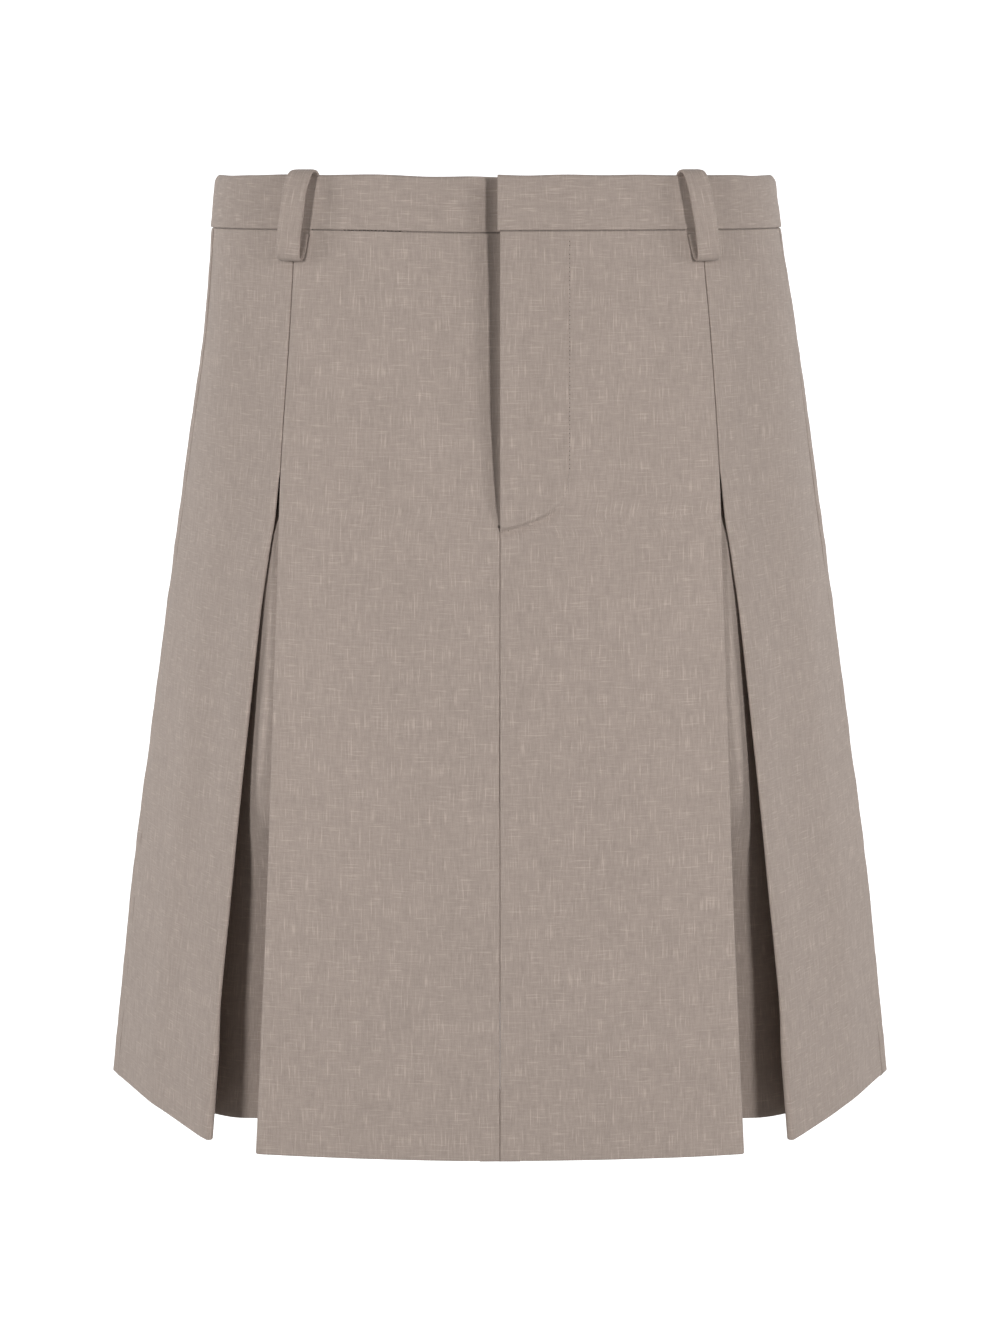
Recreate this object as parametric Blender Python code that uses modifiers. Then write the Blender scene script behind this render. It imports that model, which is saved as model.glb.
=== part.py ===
"""Pleated mini skirt, hollow and filled out as when it is worn.

Metres, +Z up. The front faces -Y and +X is the wearer's left. The origin is the middle of the waist opening,
inside the waistband, 11 mm above the waist seam. Each sheet of cloth is a grid of points on its right side,
and Solidify gives it its thickness on the wrong side. Grids run downwards, and anticlockwise seen from above.
"""

from collections import namedtuple
from math import atan2, cos, pi, radians, sin, sqrt

import bmesh
import bpy
from mathutils import Vector

MM = 0.001

# Cloth and seams, in millimetres.
CLOTH = 1.5
SEAM_GAP = 0.3
LAYER_GAP = 0.4
WAIST_SEAM_GAP = 0.8
SIDE_SEAM_INSET = 0.4
FOLD_RADIUS = 1.95
FOLD_STEPS = 5

# The skirt from waist seam to hem, and where its stitching stops.
HEM_Z = -449.5
PLEAT_OPENS_Z = -122.0
PLEAT_TOP_Z = -110.0
FLY_END_Z = -148.0
FLY_FADE = 5.0

# The waistband, and how its ends lap at centre front.
BAND_TOP_Z = 15.5
BAND_BOTTOM_Z = -11.0
BAND_CLOTH = 3.0
BAND_PROUD = 0.6
BAND_CORNER_RADIUS = 5.0
BAND_ROW_DROPS = (0.0, 1.0, 3.0, 7.5, 16.5)
BAND_LAP_DEPTH = 4.6
BAND_END_X = -1.2
LAP_WIDTH = 34.0
UNDERLAP_DROP = 2.6
UNDERLAP_DROP_REACH = 80.0
UNDERLAP_DROP_FADE_Z = -60.0

# The waist hangs this much lower at the back than at the front.
BACK_DROP = 6.0
BACK_DROP_REACH = 90.0
BACK_DROP_FADE_Z = -120.0

# The fly: the right front dips behind the left front's edge within this distance of centre front.
DIP_WIDTH_TOP = 13.0
DIP_WIDTH_END = 7.0
UNDERLAP_WIDTH = 33.0

# The closed zip in the fly, and the hook between the waistband's ends.
ZIP_TOP_Z = -19.0
ZIP_END_Z = -118.0
ZIP_INNER_X = 4.0
ZIP_OUTER_X = 28.0
ZIP_THICKNESS = 1.2
SLIDER_SIZE = (7.0, 2.7, 10.0)
SLIDER_Z = -27.0
HOOK_WIDTH = 13.0
HOOK_HEIGHT = 10.0
HOOK_FROM_X = 8.0
HOOK_THICKNESS = 1.0

# Belt loops.
LOOP_WIDTH = 12.3
LOOP_THICKNESS = 1.8

# Horizontal sections of the right side of the cloth, for the half at +X, in millimetres. The front panel ends
# at its pleat fold, the side panel runs from its own fold to the side seam, and the back closes the ring.
# side_bow is how far the side panel bulges past its chord, and lean_x moves the sides of a section.
Section = namedtuple("Section", "z front_y fold_x fold_y seam_x seam_y side_bow back_y lean_x")
SECTIONS = (
    Section(16, -98.0, 96.2, -66.5, 138.7, 0.0, 9.5, 98.0, -2.6),
    Section(-14, -101.5, 97.6, -70.5, 142.5, 0.4, 9.2, 103.0, -1.8),
    Section(-60, -108.0, 100.8, -78.5, 148.7, 2.4, 8.5, 112.0, 0.0),
    Section(-122, -117.0, 104.9, -90.0, 158.4, 5.0, 7.0, 124.5, 0.0),
    Section(-180, -123.0, 106.8, -100.5, 167.1, 7.3, 5.8, 134.0, 0.0),
    Section(-250, -129.0, 109.1, -111.0, 177.3, 10.0, 4.6, 142.0, 0.0),
    Section(-340, -134.5, 112.4, -120.0, 190.4, 13.0, 3.2, 150.0, 0.0),
    Section(-449.5, -140.0, 117.9, -129.0, 203.4, 16.2, 2.2, 158.0, 0.0),
)
FRONT_CURVE = 2.1
BACK_CURVE = 2.1

# Soft flutes of the back, which grow from nothing at the hip to this depth at the hem.
BACK_FLUTES = 4
BACK_FLUTE_DEPTH = 5.0
BACK_FLUTE_TOP_Z = -180.0

# Each pleat seam and pleat, by height. mouth_x and mouth_y lead from the front panel's fold to the side
# panel's. depth is the width of each folded-under edge, which is a pressed seam allowance above the pleat.
# A swing is the angle between a panel and its folded-under edge, in degrees. middle_x and middle_y lead
# from the middle of the mouth to the middle of the underlay.
Pleat = namedtuple("Pleat", "z mouth_x mouth_y depth front_swing side_swing middle_x middle_y")
PLEATS = (
    Pleat(-10, 0.0, 0.0, 9.0, 3.0, 3.0, -3.2, 5.0),
    Pleat(-100, 0.0, 0.0, 9.0, 3.0, 3.0, -3.2, 5.0),
    Pleat(-122, 0.0, 0.0, 12.0, 3.0, 3.0, -3.2, 5.2),
    Pleat(-150, 2.0, 0.7, 20.0, 3.0, 3.0, -3.2, 5.4),
    Pleat(-170, 5.6, 2.4, 25.0, 3.0, 3.0, -2.8, 5.6),
    Pleat(-190, 8.1, 4.0, 29.0, 3.0, 3.5, -2.6, 5.8),
    Pleat(-250, 13.2, 9.0, 34.0, 4.5, 4.0, -2.2, 6.6),
    Pleat(-280, 15.6, 11.2, 35.0, 10.0, 4.5, -1.4, 9.0),
    Pleat(-310, 17.8, 13.2, 36.0, 22.0, 6.0, 0.0, 15.0),
    Pleat(-380, 22.2, 17.3, 37.0, 46.0, 9.0, 2.0, 28.0),
    Pleat(-449.5, 24.8, 21.5, 37.0, 62.0, 10.0, 2.5, 37.0),
)
UNDERLAY_LAP = 2.0

# The underlay's hem ends this much above the panels' hem.
UNDERLAY_HEM_RISE = 4.5

# How far the right front lies behind the left front's right side along the fly, by height.
Fly = namedtuple("Fly", "z depth")
FLY = (
    Fly(-10, 4.9),
    Fly(-36, 4.9),
    Fly(-60, 3.5),
    Fly(-120, 3.4),
    Fly(-148, 2.0),
)

# A belt loop's path from the waistband's top edge, down over the band, round its folded foot and up to the
# waist seam that holds it. out is the distance of its right side from the panels' right side.
LoopPoint = namedtuple("LoopPoint", "z out")
LOOP_PATH = (
    LoopPoint(17.6, -1.4),
    LoopPoint(18.0, 1.2),
    LoopPoint(17.8, 3.8),
    LoopPoint(16.4, 6.3),
    LoopPoint(13.0, 8.4),
    LoopPoint(6.0, 9.7),
    LoopPoint(-2.0, 9.8),
    LoopPoint(-10.0, 8.9),
    LoopPoint(-18.0, 7.2),
    LoopPoint(-22.5, 5.9),
    LoopPoint(-24.3, 4.9),
    LoopPoint(-24.9, 3.2),
    LoopPoint(-24.2, 1.4),
    LoopPoint(-22.0, 0.5),
    LoopPoint(-12.4, 0.5),
)
# Where each loop crosses the top and the foot of its path, as a turn round the half section: 0 is centre
# front, 1 the pleat seam, 2 the side seam and 3 centre back.
LoopPlace = namedtuple("LoopPlace", "name side top_turn foot_turn")
LOOPS = (
    LoopPlace("belt_loop_front_left", 1, 0.935, 0.985),
    LoopPlace("belt_loop_front_right", -1, 0.935, 0.985),
    LoopPlace("belt_loop_back_left", 1, 2.50, 2.50),
    LoopPlace("belt_loop_back_right", -1, 2.50, 2.50),
    LoopPlace("belt_loop_back_centre", 1, 3.0, 3.0),
)

# How many strips each piece is divided into, along and across the cloth.
SEWN_ROWS = 6
OPEN_ROWS = 14
FRONT_COLUMNS = 9
DIP_COLUMNS = 4
PAST_DIP_COLUMNS = 7
UNDERLAP_COLUMNS = 3
SIDE_COLUMNS = 9
BACK_HALF_COLUMNS = 16
FOLDED_UNDER_COLUMNS = 3
UNDERLAY_HALF_COLUMNS = 5
BAND_FRONT_COLUMNS = 7
BAND_SIDE_COLUMNS = 8
BAND_BACK_COLUMNS = 12
BAND_LAP_COLUMNS = 3
ZIP_ROWS = 6
ZIP_COLUMNS = 3
HOOK_COLUMNS = 2

# The share of a panel's width over which its direction at an edge is measured.
NUDGE = 0.02

CLOTH_COLOUR = (0.37, 0.30, 0.26, 1.0)
ZIP_COLOUR = (0.30, 0.25, 0.21, 1.0)
METAL_COLOUR = (0.55, 0.55, 0.56, 1.0)


def smooth(table, column, z):
    """A column at a height, on a cubic through the table's rows whose slopes come from their neighbours."""
    rows = sorted(table, key=lambda row: row.z)
    z = min(max(z, rows[0].z), rows[-1].z)
    low = max(i for i in range(len(rows) - 1) if rows[i].z <= z)

    def value(i):
        return getattr(rows[i], column)

    def slope(i):
        before, after = max(i - 1, 0), min(i + 1, len(rows) - 1)
        return (value(after) - value(before)) / (rows[after].z - rows[before].z)

    span = rows[low + 1].z - rows[low].z
    t = (z - rows[low].z) / span
    return (
        value(low) * (1 + 2 * t) * (1 - t) ** 2
        + slope(low) * span * t * (1 - t) ** 2
        + value(low + 1) * t * t * (3 - 2 * t)
        + slope(low + 1) * span * t * t * (t - 1)
    )


def eased(t):
    """0 below 0, 1 above 1, and a smooth step between."""
    t = min(max(t, 0.0), 1.0)
    return t * t * (3 - 2 * t)


def steps(start, end, count):
    return [start + (end - start) * i / count for i in range(count + 1)]


def section(z):
    return Section(z, *(smooth(SECTIONS, column, z) for column in Section._fields[1:]))


def pleat(z):
    """The pleat's sizes at a height. Its mouth is shut above the place where its stitching stops."""
    p = Pleat(z, *(smooth(PLEATS, column, z) for column in Pleat._fields[1:]))
    return p if z < PLEAT_OPENS_Z else p._replace(mouth_x=0.0, mouth_y=0.0)


def lean(s, point):
    return Vector((point.x + s.lean_x * (point.x / s.seam_x) ** 2, point.y))


def on_front(s, x):
    """The front panel's right side at x, in plan."""
    return Vector((x, s.front_y + (s.fold_y - s.front_y) * abs(x / s.fold_x) ** FRONT_CURVE))


def on_side(s, t):
    """The side panel's right side, from its pleat fold at t 0 to the side seam at t 1."""
    p = pleat(s.z)
    start, end = Vector((s.fold_x + p.mouth_x, s.fold_y + p.mouth_y)), Vector((s.seam_x, s.seam_y))
    chord = (end - start).normalized()
    control = (start + end) / 2 + 2 * s.side_bow * Vector((chord.y, -chord.x))
    return start * (1 - t) ** 2 + 2 * control * t * (1 - t) + end * t * t


def on_back(s, t):
    """The back's right side, from the side seam at t 0 to centre back at t 1."""
    power = 2 / BACK_CURVE
    x = s.seam_x * max(cos(t * pi / 2), 0.0) ** power
    y = s.seam_y + (s.back_y - s.seam_y) * sin(t * pi / 2) ** power
    grown = eased((BACK_FLUTE_TOP_Z - s.z) / (BACK_FLUTE_TOP_Z - HEM_Z))
    flute = BACK_FLUTE_DEPTH * grown * sin(t * pi / 2) * (cos(BACK_FLUTES * t * pi) - 1) / 2
    return Vector((x, y + flute))


def on_ring(s, turn):
    """The right side at a turn round the half section, with the pleat closed."""
    if turn <= 1:
        return on_front(s, turn * s.fold_x)
    if turn <= 2:
        return on_side(s, turn - 1)
    return on_back(s, turn - 2)


def moved(points, out):
    """The plan points of an anticlockwise line, moved out by a distance, or by one for each point."""
    outs = out if isinstance(out, list) else [out] * len(points)
    result = []
    for i, point in enumerate(points):
        along = (points[min(i + 1, len(points) - 1)] - points[max(i - 1, 0)]).normalized()
        result.append(point + outs[i] * Vector((along.y, -along.x)))
    return result


def mouth(s):
    """The two edges of the pleat, the panels' directions there, and how far each fold's middle is set back.

    Where the panels are sewn together at an angle, their folds are set back so far that they just clear.
    """
    edges = on_front(s, s.fold_x), on_side(s, 0)
    front_along = (edges[0] - on_front(s, s.fold_x * (1 - NUDGE))).normalized()
    side_along = (on_side(s, NUDGE) - edges[1]).normalized()
    half_turn = front_along.angle(side_along) / 2
    sewn = (FOLD_RADIUS * (1 + sin(half_turn)) + SEAM_GAP / 2) / cos(half_turn)
    open_by = (edges[1] - edges[0]).length
    set_back = max(FOLD_RADIUS + SEAM_GAP / 2, sewn - open_by / 2)
    return edges[0], front_along, edges[1], side_along, set_back


def folded_under(edge, along, set_back, swing, depth):
    """A fold at a panel's edge and the depth of cloth behind it. The panel runs along +x to the edge."""
    inward = Vector((-along.y, along.x))
    centre = edge - set_back * along + FOLD_RADIUS * inward
    turn = pi - radians(swing)
    points = [
        centre + FOLD_RADIUS * (sin(a) * along - cos(a) * inward) for a in steps(0, turn, FOLD_STEPS)
    ]
    back = cos(turn) * along + sin(turn) * inward
    return points + [points[-1] + back * d for d in steps(0, depth, FOLDED_UNDER_COLUMNS)[1:]]


def lowered(point, z, lies_under):
    """A row's height at a plan point. It is lower behind, and where a piece lies under at centre front."""
    if point.y > 0:
        drop, fade_z, share = BACK_DROP, BACK_DROP_FADE_Z, point.y / BACK_DROP_REACH
    else:
        drop, fade_z, share = UNDERLAP_DROP, UNDERLAP_DROP_FADE_Z, 1 - abs(point.x) / UNDERLAP_DROP_REACH
        drop = drop if lies_under else 0.0
    near_band = eased((z - fade_z) / (BAND_BOTTOM_Z - fade_z))
    return z - drop * eased(share) * near_band


def in_space(points, z, lies_under=False):
    """Plan points at a height, as points in metres."""
    return [Vector((p.x, p.y, lowered(p, z, lies_under))) * MM for p in points]


def mirrored(rows):
    return [[p and Vector((-p.x, p.y, p.z)) for p in reversed(row)] for row in rows]


def panel_heights(*more):
    """The heights of a panel's rows, from just below the waistband to the hem."""
    top = BAND_BOTTOM_Z - WAIST_SEAM_GAP
    upper = steps(top, PLEAT_OPENS_Z, SEWN_ROWS)
    lower = steps(PLEAT_OPENS_Z, HEM_Z, OPEN_ROWS)[1:]
    return sorted(set(upper + lower + list(more)), reverse=True)


def front_line(s, xs):
    """The front's right side at these x, then its fold and folded-under edge, for the half at +X."""
    edge, along, _, _, set_back = mouth(s)
    p = pleat(s.z)
    return [on_front(s, x) for x in xs] + folded_under(edge, along, set_back, p.front_swing, p.depth)


def front_left_rows():
    rows = []
    for z in panel_heights(FLY_END_Z):
        s = section(z)
        xs = steps(SEAM_GAP / 2, s.fold_x - mouth(s)[-1], FRONT_COLUMNS)[:-1]
        rows.append(in_space([lean(s, p) for p in front_line(s, xs)], z))
    return rows


def front_right_rows():
    """Like the left front, but it dips near centre front and runs on behind the fly as an underlap."""
    rows = []
    for z in panel_heights(FLY_END_Z, FLY_END_Z - FLY_FADE):
        s = section(z)
        in_fly = z >= FLY_END_Z
        depth = smooth(FLY, "depth", z) if in_fly else 0.0
        down = eased((z - FLY_END_Z) / (BAND_BOTTOM_Z - FLY_END_Z))
        dip = DIP_WIDTH_END + (DIP_WIDTH_TOP - DIP_WIDTH_END) * down
        past_dip = steps(dip, s.fold_x - mouth(s)[-1], PAST_DIP_COLUMNS)
        xs = steps(0.0, dip, DIP_COLUMNS) + past_dip[1:-1]
        xs[0] = SEAM_GAP / 2
        line = front_line(s, xs)
        outs = [-depth * eased(1 - p.x / dip) for p in line[: len(xs)]] + [0.0] * (len(line) - len(xs))
        line = moved(line, outs)
        right = [lean(s, Vector((-p.x, p.y))) for p in reversed(line)]
        under = [None] * UNDERLAP_COLUMNS
        if in_fly:
            behind = [on_front(s, x) for x in steps(0.0, UNDERLAP_WIDTH, UNDERLAP_COLUMNS)[1:]]
            under = in_space(moved(behind, -depth), z, True)
        rows.append(in_space(right, z, True) + under)
    return rows


def side_line(s):
    """The side panel's folded-under edge, its fold, and its right side to the side seam."""
    _, _, edge, along, set_back = mouth(s)
    p = pleat(s.z)
    width = (on_side(s, 1) - edge).length
    # The fold is worked out in a mirror, where the panel runs towards its fold.
    mirror_edge, mirror_along = Vector((-edge.x, edge.y)), Vector((along.x, -along.y))
    under = folded_under(mirror_edge, mirror_along, set_back, p.side_swing, p.depth)
    under = [Vector((-q.x, q.y)) for q in reversed(under)]
    start = set_back / width
    # The wall is cut back at the side seam, where the back meets it at an angle.
    end = 1 - SIDE_SEAM_INSET / width
    return under + [on_side(s, t) for t in steps(start, end, SIDE_COLUMNS)[1:]]


def side_front_rows(side):
    rows = []
    for z in panel_heights():
        s = section(z)
        rows.append(in_space([lean(s, Vector((side * p.x, p.y))) for p in side_line(s)], z))
    return rows if side > 0 else [list(reversed(row)) for row in rows]


def curve_through(a, b, c, half_count):
    """A line through three plan points, smooth at the middle one."""
    slope = (c - a) / 2
    line = [a]
    for start, end, before, after in ((a, b, b - a, slope), (b, c, slope, c - b)):
        for t in steps(0, 1, half_count)[1:]:
            line.append(
                start * (1 + 2 * t) * (1 - t) ** 2
                + before * t * (1 - t) ** 2
                + end * t * t * (3 - 2 * t)
                + after * t * t * (t - 1)
            )
    return line


def lapped(end, before, middle):
    """Where the underlay starts: just past the end of a folded-under edge, square to its own run."""
    back = (end - before).normalized()
    run = (middle - end).normalized()
    away = Vector((-run.y, run.x))
    wrong_side = Vector((-back.y, back.x))
    if away.dot(Vector((0, 1))) < 0:
        away = -away
    if wrong_side.dot(Vector((0, -1))) < 0:
        wrong_side = -wrong_side
    clear = LAYER_GAP + CLOTH * max(0.0, wrong_side.dot(away))
    return end + clear * away - UNDERLAY_LAP * run


def underlay_line(s):
    front = front_line(s, [])
    side = side_line(s)
    p = pleat(s.z)
    middle = (on_front(s, s.fold_x) + on_side(s, 0)) / 2 + Vector((p.middle_x, p.middle_y))
    start = lapped(front[-1], front[-2], middle)
    end = lapped(side[0], side[1], middle)
    return curve_through(start, middle, end, UNDERLAY_HALF_COLUMNS)


def underlay_rows():
    hem = HEM_Z + UNDERLAY_HEM_RISE
    heights = [max(z, hem) for z in panel_heights(PLEAT_TOP_Z) if z <= PLEAT_TOP_Z]
    return [in_space(underlay_line(section(z)), z) for z in heights]


def back_rows():
    rows = []
    for z in panel_heights():
        s = section(z)
        half = [on_back(s, t) for t in steps(0, 1, BACK_HALF_COLUMNS)]
        half[0] = half[0].lerp(half[1], SIDE_SEAM_INSET / (half[1] - half[0]).length)
        ring = half + [Vector((-p.x, p.y)) for p in reversed(half[:-1])]
        rows.append(in_space([lean(s, p) for p in ring], z))
    return rows


def band_inset(z):
    """How far the sides of the waistband draw in round its soft top edge."""
    above = max(0.0, z - BAND_TOP_Z + BAND_CORNER_RADIUS)
    return BAND_CORNER_RADIUS - sqrt(BAND_CORNER_RADIUS**2 - above**2)


def waistband_rows():
    """From the lapped end at centre front all round to the end that lies behind it."""
    turns = steps(0, 1, BAND_FRONT_COLUMNS)
    turns += steps(1, 2, BAND_SIDE_COLUMNS)[1:] + steps(2, 3, BAND_BACK_COLUMNS)[1:]
    dip_xs = steps(-DIP_WIDTH_TOP, 0.0, DIP_COLUMNS)[:-1]
    lap_xs = steps(0.0, LAP_WIDTH, BAND_LAP_COLUMNS)
    rows = []
    for z in [BAND_TOP_Z - drop for drop in BAND_ROW_DROPS] + [BAND_BOTTOM_Z]:
        s = section(z)
        s = s._replace(seam_x=s.seam_x - band_inset(z))
        half = [on_ring(s, t) for t in turns]
        left = [on_front(s, BAND_END_X)] + half
        # The right half is the left half's mirror image as far as the dip, and then laps behind the left end.
        right = [Vector((-p.x, p.y)) for p in reversed(half[2:-1])]
        dipping = [on_front(s, x) for x in dip_xs + lap_xs]
        outs = [BAND_PROUD] * len(left + right)
        outs += [BAND_PROUD - BAND_LAP_DEPTH * eased(1 + p.x / DIP_WIDTH_TOP) for p in dipping]
        line = [lean(s, p) for p in moved(left + right + dipping, outs)]
        rows.append(in_space(line[: len(left)], z) + in_space(line[len(left) :], z, True))
    return rows


def loop_rows(place):
    """A strip of cloth that follows the loop's path on the skirt's own sections."""
    top = max(point.z for point in LOOP_PATH)
    foot = min(point.z for point in LOOP_PATH)
    rows = []
    for point in LOOP_PATH:
        s = section(point.z)
        share = (top - point.z) / (top - foot)
        turn = place.top_turn + (place.foot_turn - place.top_turn) * share
        middle = on_ring(s, turn)
        ahead = on_ring(s, turn + NUDGE) if turn < 3 else middle - Vector((1, 0))
        along = (ahead - middle).normalized()
        centre = middle + point.out * Vector((along.y, -along.x))
        strip = [centre + along * across for across in steps(-LOOP_WIDTH / 2, LOOP_WIDTH / 2, 2)]
        strip = [lean(s, Vector((place.side * p.x, p.y))) for p in strip]
        rows.append(in_space(strip if place.side > 0 else strip[::-1], point.z))
    return rows


def zip_rows():
    rows = []
    for z in steps(ZIP_TOP_Z, ZIP_END_Z, ZIP_ROWS):
        s = section(z)
        line = [on_front(s, x) for x in steps(ZIP_INNER_X, ZIP_OUTER_X, ZIP_COLUMNS)]
        rows.append(in_space(moved(line, -CLOTH - LAYER_GAP), z))
    return rows


def hook_rows():
    rows = []
    depth = BAND_PROUD - BAND_CLOTH - LAYER_GAP
    for z in (HOOK_HEIGHT / 2, -HOOK_HEIGHT / 2):
        s = section(z)
        line = [on_front(s, x) for x in steps(HOOK_FROM_X, HOOK_FROM_X + HOOK_WIDTH, HOOK_COLUMNS)]
        rows.append(in_space(moved(line, depth), z))
    return rows


def material(name, colour, roughness, metallic=0.0):
    made = bpy.data.materials.new(name)
    made.use_nodes = True
    shader = made.node_tree.nodes["Principled BSDF"]
    shader.inputs["Base Color"].default_value = colour
    shader.inputs["Roughness"].default_value = roughness
    shader.inputs["Metallic"].default_value = metallic
    made.diffuse_color = colour
    return made


def sheet(name, rows, thickness, surface, collection):
    """An object from a grid of right-side points, as thick as the cloth. None leaves a place out."""
    shape = bmesh.new()
    grid = [[p and shape.verts.new(p) for p in row] for row in rows]
    for upper, lower in zip(grid, grid[1:]):
        for i in range(len(upper) - 1):
            corners = (upper[i], lower[i], lower[i + 1], upper[i + 1])
            if all(corners):
                shape.faces.new(corners)
    mesh = bpy.data.meshes.new(name)
    shape.to_mesh(mesh)
    shape.free()
    mesh.materials.append(surface)
    mesh.shade_smooth()
    made = bpy.data.objects.new(name, mesh)
    collection.objects.link(made)
    wall = made.modifiers.new("wall", "SOLIDIFY")
    wall.thickness = thickness * MM
    wall.offset = -1
    wall.use_even_offset = True
    return made


def add_slider(zip_tape, surface, helpers):
    """Fuses the zip's slider to the top of its chain."""
    x = (ZIP_INNER_X + ZIP_OUTER_X) / 2
    half = SLIDER_SIZE[2] / 2
    outer_x = x + SLIDER_SIZE[0] / 2
    upper, lower = (on_front(section(SLIDER_Z + dz), outer_x).y for dz in (half, -half))
    depth = CLOTH + LAYER_GAP + SLIDER_SIZE[1] / 2
    bpy.ops.mesh.primitive_cube_add(size=1)
    slider = bpy.context.object
    slider.name = "zip_slider_helper"
    slider.scale = [size * MM for size in SLIDER_SIZE]
    slider.location = Vector((x, (upper + lower) / 2 + depth, SLIDER_Z)) * MM
    slider.rotation_euler.x = -atan2(upper - lower, 2 * half)
    slider.data.materials.append(surface)
    slider.hide_render = True
    slider.display_type = "WIRE"
    for owner in list(slider.users_collection):
        owner.objects.unlink(slider)
    helpers.objects.link(slider)
    union = zip_tape.modifiers.new("slider", "BOOLEAN")
    union.operation = "UNION"
    union.object = slider


def clear_scene():
    for old in list(bpy.data.objects):
        bpy.data.objects.remove(old)


def main():
    clear_scene()
    skirt = bpy.data.collections.new("pleated_mini_skirt")
    helpers = bpy.data.collections.new("helpers")
    for made in (skirt, helpers):
        bpy.context.scene.collection.children.link(made)
    suiting = material("suiting", CLOTH_COLOUR, roughness=0.9)
    tape = material("zip_tape", ZIP_COLOUR, roughness=0.8)
    metal = material("metal", METAL_COLOUR, roughness=0.35, metallic=1.0)

    sheet("waistband", waistband_rows(), BAND_CLOTH, suiting, skirt)
    sheet("front_left", front_left_rows(), CLOTH, suiting, skirt)
    sheet("front_right", front_right_rows(), CLOTH, suiting, skirt)
    sheet("side_front_left", side_front_rows(1), CLOTH, suiting, skirt)
    sheet("side_front_right", side_front_rows(-1), CLOTH, suiting, skirt)
    sheet("pleat_underlay_left", underlay_rows(), CLOTH, suiting, skirt)
    sheet("pleat_underlay_right", mirrored(underlay_rows()), CLOTH, suiting, skirt)
    sheet("back", back_rows(), CLOTH, suiting, skirt)
    for place in LOOPS:
        sheet(place.name, loop_rows(place), LOOP_THICKNESS, suiting, skirt)
    zip_tape = sheet("fly_zip", zip_rows(), ZIP_THICKNESS, tape, skirt)
    add_slider(zip_tape, metal, helpers)
    sheet("waist_hook", hook_rows(), HOOK_THICKNESS, metal, skirt)


main()
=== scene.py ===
"""Looks of the pleated mini skirt: thin cloth on the forms of its solids, with its seams, stitching and weave.

The forms are worked out in millimetres in the part's own frame and written in metres. The front faces -Y, +X is
the wearer's left, and the origin is in the waist opening, 11 mm above the waist seam. A grid of points gives the
right side of a piece of cloth. Its rows run downwards, and its columns anticlockwise seen from above.
"""

from collections import namedtuple
from math import copysign, cos, exp, hypot, pi, radians, sin

import bmesh
import bpy
from mathutils import Matrix, Vector, noise


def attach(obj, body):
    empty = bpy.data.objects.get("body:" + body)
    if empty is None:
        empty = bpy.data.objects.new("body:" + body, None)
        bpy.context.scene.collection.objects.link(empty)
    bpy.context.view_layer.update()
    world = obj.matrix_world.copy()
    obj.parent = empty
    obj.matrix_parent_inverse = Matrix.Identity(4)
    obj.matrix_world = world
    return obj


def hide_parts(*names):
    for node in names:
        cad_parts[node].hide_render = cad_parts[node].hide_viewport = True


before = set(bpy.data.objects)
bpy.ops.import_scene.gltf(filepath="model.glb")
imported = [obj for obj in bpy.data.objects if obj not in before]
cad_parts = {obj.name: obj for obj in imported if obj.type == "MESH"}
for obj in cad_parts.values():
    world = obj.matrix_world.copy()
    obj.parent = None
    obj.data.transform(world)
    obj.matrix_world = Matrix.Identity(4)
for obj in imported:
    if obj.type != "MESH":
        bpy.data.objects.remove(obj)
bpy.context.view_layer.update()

MM = 0.001

# ---- sizes shared with the solids
SEAM_GAP = 0.3
LAYER_GAP = 0.4
HEM_Z = -449.5
PLEAT_OPENS_Z = -122.0
PLEAT_TOP_Z = -110.0
FLY_END_Z = -148.0
BAND_TOP_Z = 15.5
BAND_BOTTOM_Z = -10.2
BAND_CLOTH = 3.0
BAND_PROUD = 0.6
BAND_CORNER_RADIUS = 5.0
BAND_LAP_DEPTH = 4.6
BAND_END_X = -1.2
# The first columns of the waistband, which lie on its lapped end, and a row halfway down its outside.
LAPPED_COLUMNS = 12
BAND_GRAIN_ROW = 24
LAP_WIDTH = 34.0
UNDERLAP_DROP = 1.1
UNDERLAP_DROP_REACH = 80.0
UNDERLAP_DROP_FADE_Z = -60.0
BACK_DROP = 6.0
BACK_DROP_REACH = 90.0
BACK_DROP_FADE_Z = -120.0
DIP_WIDTH_TOP = 18.0
UNDERLAP_WIDTH = 33.0
ZIP_TOP_Z = -19.0
ZIP_END_Z = -118.0
ZIP_INNER_X = 4.0
ZIP_OUTER_X = 28.0
ZIP_MIDDLE_X = (ZIP_INNER_X + ZIP_OUTER_X) / 2
ZIP_OUT = -(1.5 + LAYER_GAP) - 0.3
LOOP_WIDTH = 12.3
LOOP_THICKNESS = 1.8
UNDERLAY_LAP = 2.0
UNDERLAY_HEM_RISE = 4.5
FRONT_CURVE = 2.1
BACK_CURVE = 2.1
BACK_FLUTES = 4
BACK_FLUTE_DEPTH = 5.0
BACK_FLUTE_TOP_Z = -180.0

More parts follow.
